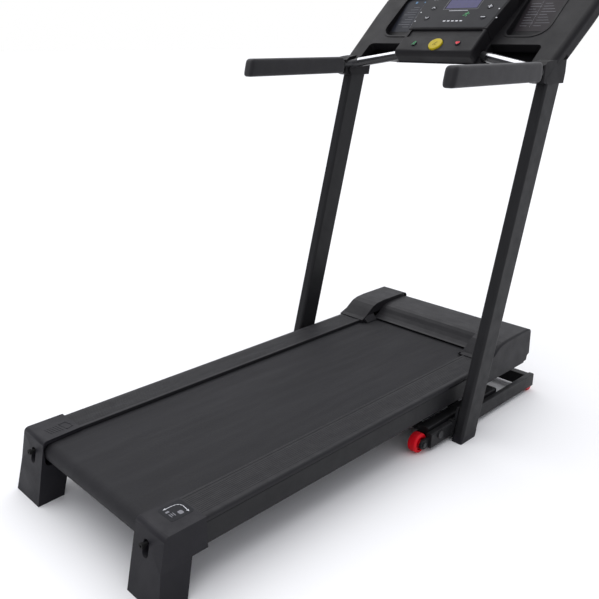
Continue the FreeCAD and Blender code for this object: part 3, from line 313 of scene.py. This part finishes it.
# ---------------------------------------------------------------- small meshes
def mesh_object(name, verts, faces, material, body):
    mesh = bpy.data.meshes.new(name)
    mesh.from_pydata([tuple(v) for v in verts], [], faces)
    mesh.validate()
    work = bmesh.new()
    work.from_mesh(mesh)
    bmesh.ops.recalc_face_normals(work, faces=work.faces)
    work.to_mesh(mesh)
    work.free()
    obj = bpy.data.objects.new(name, mesh)
    bpy.context.scene.collection.objects.link(obj)
    mesh.materials.append(M[material])
    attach(obj, body)
    return obj


def slabs(name, outlines, lift, low, high, material, body):
    """Thin raised shapes: each outline is a loop of (u, v), lift(u, v, n) places it."""
    verts, faces = [], []
    for loop in outlines:
        first = len(verts)
        count = len(loop)
        verts += [lift(u, v, low) for u, v in loop] + [lift(u, v, high) for u, v in loop]
        faces.append(tuple(range(first + count - 1, first - 1, -1)))
        faces.append(tuple(range(first + count, first + 2 * count)))
        for k in range(count):
            nxt = (k + 1) % count
            faces.append((first + k, first + nxt, first + count + nxt, first + count + k))
    return mesh_object(name, verts, faces, material, body)


def rect(u0, v0, u1, v1):
    return [(u0, v0), (u1, v0), (u1, v1), (u0, v1)]


def round_rect(u0, v0, u1, v1, r, steps=5):
    loop = []
    for cu, cv, start in ((u1 - r, v1 - r, 0), (u0 + r, v1 - r, 90), (u0 + r, v0 + r, 180),
                          (u1 - r, v0 + r, 270)):
        for k in range(steps + 1):
            a = math.radians(start + 90.0 * k / steps)
            loop.append((cu + r * math.cos(a), cv + r * math.sin(a)))
    return loop


def disc(u, v, r, steps=20):
    return [(u + r * math.cos(2 * math.pi * k / steps), v + r * math.sin(2 * math.pi * k / steps))
            for k in range(steps)]


def stroke(points, width):
    """Straight bars along a polyline, one outline for each run."""
    out = []
    for (u0, v0), (u1, v1) in zip(points[:-1], points[1:]):
        run = math.hypot(u1 - u0, v1 - v0)
        du, dv = (u1 - u0) / run, (v1 - v0) / run
        w = width / 2.0
        out.append([(u0 - du * w - dv * w, v0 - dv * w + du * w),
                    (u0 - du * w + dv * w, v0 - dv * w - du * w),
                    (u1 + du * w + dv * w, v1 + dv * w - du * w),
                    (u1 + du * w - dv * w, v1 + dv * w + du * w)])
    return out


def arrow_head(u, v, angle, size):
    a = math.radians(angle)
    tip = (u + size * math.cos(a), v + size * math.sin(a))
    left = (u + size * 0.6 * math.cos(a + 2.1), v + size * 0.6 * math.sin(a + 2.1))
    right = (u + size * 0.6 * math.cos(a - 2.1), v + size * 0.6 * math.sin(a - 2.1))
    return [tip, left, right]


# ---------------------------------------------------------------- marks on the rear caps
CAP_TOP = 182.5


def cap_right(u, v, n):
    return place(u, v, CAP_TOP + n)


def cap_left(u, v, n):
    return place(-u, v, CAP_TOP + n)


slabs("cap_sticker", [round_rect(236, 82, 296, 146, 7)], cap_right, -0.1, 0.35,
      "plastic_gloss", "deck")
curve = [(284, 134), (262, 136), (254, 133), (249, 127), (247, 118), (246, 98)]
slabs("cap_arrow", stroke(curve, 1.6) + [arrow_head(246, 98, 270, 6), arrow_head(284, 134, 0, 6)],
      cap_right, 0.3, 0.55, "print_white", "deck")
marks = [round_rect(268, 92 + 5 * k, 282 - 3 * (k % 2), 94 + 5 * k, 0.8, 2) for k in range(3)]
marks += [round_rect(272, 112, 286, 124, 4), rect(256, 91, 262, 100)]
slabs("cap_marks", marks, cap_right, 0.3, 0.5, "print_grey", "deck")
ridges = []
for k in range(5):
    ridges += stroke([(247, 76 + 8.0 * k), (281, 70 + 8.0 * k)], 2.0)
box_line = [(246, 118), (282, 112), (284, 132), (262, 138), (250, 136), (246, 118)]
ridges += stroke(box_line, 2.0)
slabs("cap_ridges", ridges, cap_left, -0.2, 0.8, "plastic_dark", "deck")


# ---------------------------------------------------------------- console print
def field(u, v, n):
    return on_console(u, v, FIELD_N + 0.8 + n)


def key_top(u, v, n):
    return on_console(u, v, FIELD_N + 2.0 + n)


def glass_top(u, v, n):
    return on_console(u, v, FIELD_N + 0.6 + n)


white = [disc(u, v, 2.6, 14) for u, v in ((158, 182), (146, 224), (-147, 171), (-149, 215))]
for k in range(5):
    white.append(round_rect(-34 + 16 * k, 167, -24 + 16 * k, 172, 2.0, 3))
white.append(round_rect(-39, 218.6, 34, 220.6, 0.9, 2))
for k in range(4):
    white.append(round_rect(-134, 278 + 13 * k, -112 + 4 * (k % 2), 280.4 + 13 * k, 1.0, 2))
    white.append(round_rect(112, 278 + 13 * k, 134 - 4 * (k % 2), 280.4 + 13 * k, 1.0, 2))
slabs("console_dots", white, field, -0.1, 0.25, "print_white", "base")
slabs("display_frame", stroke([(-66, 226), (66, 226), (66, 342), (-66, 342), (-66, 226)], 1.2),
      field, -0.1, 0.3, "print_grey", "base")
segments = []
for row, (s0, count) in enumerate(((304, 3), (272, 4), (244, 4))):
    for k in range(count):
        u = -48 + (34 if count == 3 else 26) * k
        segments += stroke([(u, s0), (u + 12, s0)], 1.8)
        segments += stroke([(u, s0 + 9), (u + 12, s0 + 9)], 1.8)
        segments += stroke([(u, s0 + 1), (u, s0 + 8)], 1.8)
        segments += stroke([(u + 12, s0 + 1), (u + 12, s0 + 8)], 1.8)
slabs("display_segments", segments, glass_top, -0.05, 0.12, "display_ink", "base")

plus = stroke([(101, 236), (115, 236)], 2.2) + stroke([(108, 229), (108, 243)], 2.2)
slabs("plus_mark", plus, key_top, -0.1, 0.2, "print_white", "speed_up_key")
slabs("minus_mark", stroke([(101, 186), (115, 186)], 2.2), key_top, -0.1, 0.2, "print_white",
      "speed_down_key")
slabs("up_mark", stroke([(-114, 233), (-108, 239), (-102, 233)], 2.0), key_top, -0.1, 0.2,
      "print_white", "incline_up_key")
slabs("down_mark", stroke([(-114, 189), (-108, 183), (-102, 189)], 2.0), key_top, -0.1, 0.2,
      "print_white", "incline_down_key")
runner = [disc(41, 210, 2.6, 12)] + stroke([(40, 207), (37, 200)], 2.4)
runner += stroke([(37, 200), (42, 196), (41, 191)], 2.0)
runner += stroke([(37, 200), (33, 196), (28, 196)], 2.0)
runner += stroke([(40, 205), (45, 202), (48, 204)], 1.8)
runner += stroke([(40, 205), (34, 206), (32, 202)], 1.8)
slabs("runner_mark", runner, field, -0.1, 0.25, "print_green", "base")


def start_top(u, v, n):
    return on_console(u - 86.0, v + 64.0, BAR_N + 3.0 + n)


def stop_top(u, v, n):
    return on_console(u + 80.0, v + 68.0, BAR_N + 3.0 + n)


legs = stroke([(-5, -6), (-3, 1), (1, 6)], 2.2) + stroke([(-3, 1), (2, -1), (4, -6)], 2.2)
legs += stroke([(1, 5), (6, 3)], 1.8) + [disc(3.5, 8.0, 1.8, 12)]
slabs("start_mark", legs, start_top, -0.1, 0.25, "key_green", "start_button")
heart = []
for k in range(36):
    t = 2 * math.pi * k / 36
    heart.append((0.47 * 16 * math.sin(t) ** 3, 0.47 * (13 * math.cos(t) - 5 * math.cos(2 * t)
                  - 2 * math.cos(3 * t) - math.cos(4 * t))))
slabs("stop_mark", [heart], stop_top, -0.1, 0.3, "key_red", "stop_button")


def key_face(u, v, n):
    return on_console(u, v + 62.0, BAR_N + 5.0 + n)


slabs("key_mark", stroke([(-5, -7), (4, 7)], 2.0) + [disc(3.5, -6.5, 1.6, 12)], key_face, -0.1, 0.25,
      "slot_shade_and_print_black", "safety_key")

# stickers on the sloping floors of the trays, with their fine print
TRAY_LOW, TRAY_HIGH = 156.6, 361.4
FLOOR_LOW, FLOOR_HIGH = -22.0, -5.0


def tray_floor(u, v, n):
    start, end = TRAY_LOW + 40.0, TRAY_HIGH - 2.5
    level = FLOOR_LOW + (v - start) * (FLOOR_HIGH - FLOOR_LOW) / (end - start)
    return on_console(u, v, level + n)


for side, word in ((-1, "left"), (1, "right")):
    def lift(u, v, n, side=side):
        return tray_floor(side * u, v, n)
    slabs("tray_sticker_" + word, [round_rect(186, 204, 308, 354, 12)], lift, 0.05, 0.5,
          "sticker_cool" if side < 0 else "sticker_warm", "base")
    lines = []
    for row in range(9):
        v = 226 + 11.5 * row
        lines.append(round_rect(196, v, 220 + 8 * ((row * 5) % 3), v + 1.2, 0.5, 2))
        lines.append(round_rect(242, v, 268 + 8 * ((row * 7) % 4), v + 1.2, 0.5, 2))
    lines += stroke([(232, 220), (232, 330)], 0.6)
    slabs("tray_print_" + word, lines, lift, 0.45, 0.65, "print_grey", "base")
    slabs("tray_badge_" + word, [disc(268, 341, 5.0), disc(232, 342, 3.0)], lift, 0.45, 0.65,
          "print_blue" if side < 0 else "print_white", "base")


# ---------------------------------------------------------------- foam grips
def foam_grip(side, word):
    low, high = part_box("grip_" + word)
    mid_x = (low.x + high.x) / 2.0
    mid_z = (low.z + high.z) / 2.0
    half_w, half_h = (high.x - low.x) / 2.0, (high.z - low.z) / 2.0
    around, along = 48, 40
    verts, faces = [], []

    def ring(y, shrink, slant):
        out = []
        for k in range(around):
            a = 2.0 * math.pi * k / around
            c, s = math.cos(a), math.sin(a)
            power = 2.0 / 4.6
            x = math.copysign(abs(c) ** power, c) * (half_w - shrink)
            z = math.copysign(abs(s) ** power, s) * (half_h - shrink)
            # faint softness of hand-worn foam
            give = 0.00035 * math.sin(y * 61.0 + a * 2.0) + 0.00025 * math.sin(y * 143.0 - a * 3.0)
            out.append(Vector((mid_x + x * (1.0 + give * 20.0), y + slant * z, mid_z + z)))
        return out

    slant = 14.0 / 55.0
    rear = low.y + 0.007
    ends = [(0.0, 0.0120), (0.0012, 0.0064), (0.0038, 0.0026), (0.0078, 0.0006), (0.0125, 0.0)]
    rings = [ring(rear + d, shrink, slant) for d, shrink in ends]
    start = rear + 0.0125
    stop = high.y - 0.0035
    for k in range(1, along + 1):
        t = k / along
        rings.append(ring(start + (stop - start) * t, 0.0, slant * max(0.0, 1.0 - 4.0 * t)))
    for d, shrink in ((0.0022, 0.0006), (0.0033, 0.0020), (0.0035, 0.0045)):
        rings.append(ring(stop + d, shrink, 0.0))
    for r in rings:
        verts += r
    for i in range(len(rings) - 1):
        for k in range(around):
            n = (k + 1) % around
            faces.append((i * around + k, i * around + n, (i + 1) * around + n, (i + 1) * around + k))
    # ends close on a shallow dish in the middle
    for i, sign in ((0, 1.0), (len(rings) - 1, -1.0)):
        centre = sum(rings[i], Vector()) / around + Vector((0.0, sign * 0.0012, 0.0))
        verts.append(centre)
        last = len(verts) - 1
        for k in range(around):
            faces.append((i * around + k, i * around + (k + 1) % around, last))
    obj = mesh_object("foam_" + word, verts, faces, "foam_grip", "base")
    for polygon in obj.data.polygons:
        polygon.use_smooth = True
    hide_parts("grip_" + word)
    return obj


foam_grip(1, "right")
foam_grip(-1, "left")


# ---------------------------------------------------------------- softened edges
def soften(name, width, segments=2, angle=32.0):
    """Fine rounding of the moulding's and tubes' edges."""
    obj = nodes[name]
    weld = obj.modifiers.new("weld", "WELD")
    weld.merge_threshold = 0.00002
    bevel = obj.modifiers.new("bevel", "BEVEL")
    bevel.width = width
    bevel.segments = segments
    bevel.limit_method = "ANGLE"
    bevel.angle_limit = math.radians(angle)
    bevel.harden_normals = True
    return obj


for part, radius in (("rear_cap_left", 0.005), ("rear_cap_right", 0.005), ("foot_rail_left", 0.0012),
                     ("foot_rail_right", 0.0012), ("hood_cap_left", 0.002), ("hood_cap_right", 0.002),
                     ("hood_centre", 0.0012), ("upright_feet", 0.002), ("control_panel", 0.0008),
                     ("base_beam_left", 0.001), ("base_beam_right", 0.001)):
    soften(part, radius)


# ---------------------------------------------------------------- stage, light, camera
SUN_SPREAD = 85.0               # degrees, for soft shadows
LENS = 43.97                    # mm on a 36 mm sensor
floor_mesh = bpy.data.meshes.new("floor")
FLOOR_HALF = 60.0
corners = [(x * FLOOR_HALF, y * FLOOR_HALF, 0) for x, y in ((-1, -1), (1, -1), (1, 1), (-1, 1))]
floor_mesh.from_pydata(corners, [], [(0, 1, 2, 3)])
floor = bpy.data.objects.new("floor", floor_mesh)
bpy.context.scene.collection.objects.link(floor)
floor_mesh.materials.append(surface("floor_pale", (0.90, 0.90, 0.905), 0.55, mottle=0.006,
                                    mottle_scale=0.8, grain_scale=60.0, grain=0.00002,
                                    speck=0.0, specular=0.25))

world = bpy.data.worlds.new("studio")
bpy.context.scene.world = world
world.use_nodes = True
sky = world.node_tree
backdrop = sky.nodes["Background"]
backdrop.inputs["Color"].default_value = (1.0, 1.0, 1.0, 1.0)
backdrop.inputs["Strength"].default_value = 1.0
fill = add(sky, "ShaderNodeBackground", Color=(0.93, 0.94, 1.0, 1.0), Strength=0.68)
seen = add(sky, "ShaderNodeLightPath").outputs["Is Camera Ray"]
both = add(sky, "ShaderNodeMixShader", Fac=seen)
sky.links.new(fill.outputs[0], both.inputs[1])
sky.links.new(backdrop.outputs[0], both.inputs[2])
sky.links.new(both.outputs[0], sky.nodes["World Output"].inputs["Surface"])


def area_light(name, where, aim, power, size_x, size_y):
    data = bpy.data.lights.new(name, "AREA")
    data.shape = "RECTANGLE"
    data.size = size_x
    data.size_y = size_y
    data.energy = power
    lamp = bpy.data.objects.new(name, data)
    bpy.context.scene.collection.objects.link(lamp)
    lamp.location = where
    lamp.rotation_euler = (Vector(aim) - Vector(where)).to_track_quat("-Z", "Y").to_euler()
    return lamp


sun_data = bpy.data.lights.new("soft_sun", "SUN")
sun_data.energy = 2.0
sun_data.angle = math.radians(SUN_SPREAD)
sun = bpy.data.objects.new("soft_sun", sun_data)
bpy.context.scene.collection.objects.link(sun)
sun.rotation_euler = Vector((0.30, -0.20, -1.0)).to_track_quat("-Z", "Y").to_euler()
area_light("rear_light", (1.6, -3.4, 1.5), (0.0, 0.0, 0.6), 5.0, 2.4, 2.0)

camera_data = bpy.data.cameras.new("camera")
camera = bpy.data.objects.new("camera", camera_data)
bpy.context.scene.collection.objects.link(camera)
camera_data.sensor_width = 36.0
camera_data.lens = LENS
camera.location = place(1458.8, -674.2, 1192.5)
YAW, PITCH, ROLL = 0.7906, 0.3430, 0.0038
forward = Vector((-math.sin(YAW) * math.cos(PITCH), math.cos(YAW) * math.cos(PITCH), -math.sin(PITCH)))
turn = forward.to_track_quat("-Z", "Y").to_matrix()
camera.rotation_euler = (turn @ Matrix.Rotation(ROLL, 3, "Z")).to_euler()
bpy.context.scene.camera = camera
bpy.context.scene.view_settings.view_transform = "Standard"
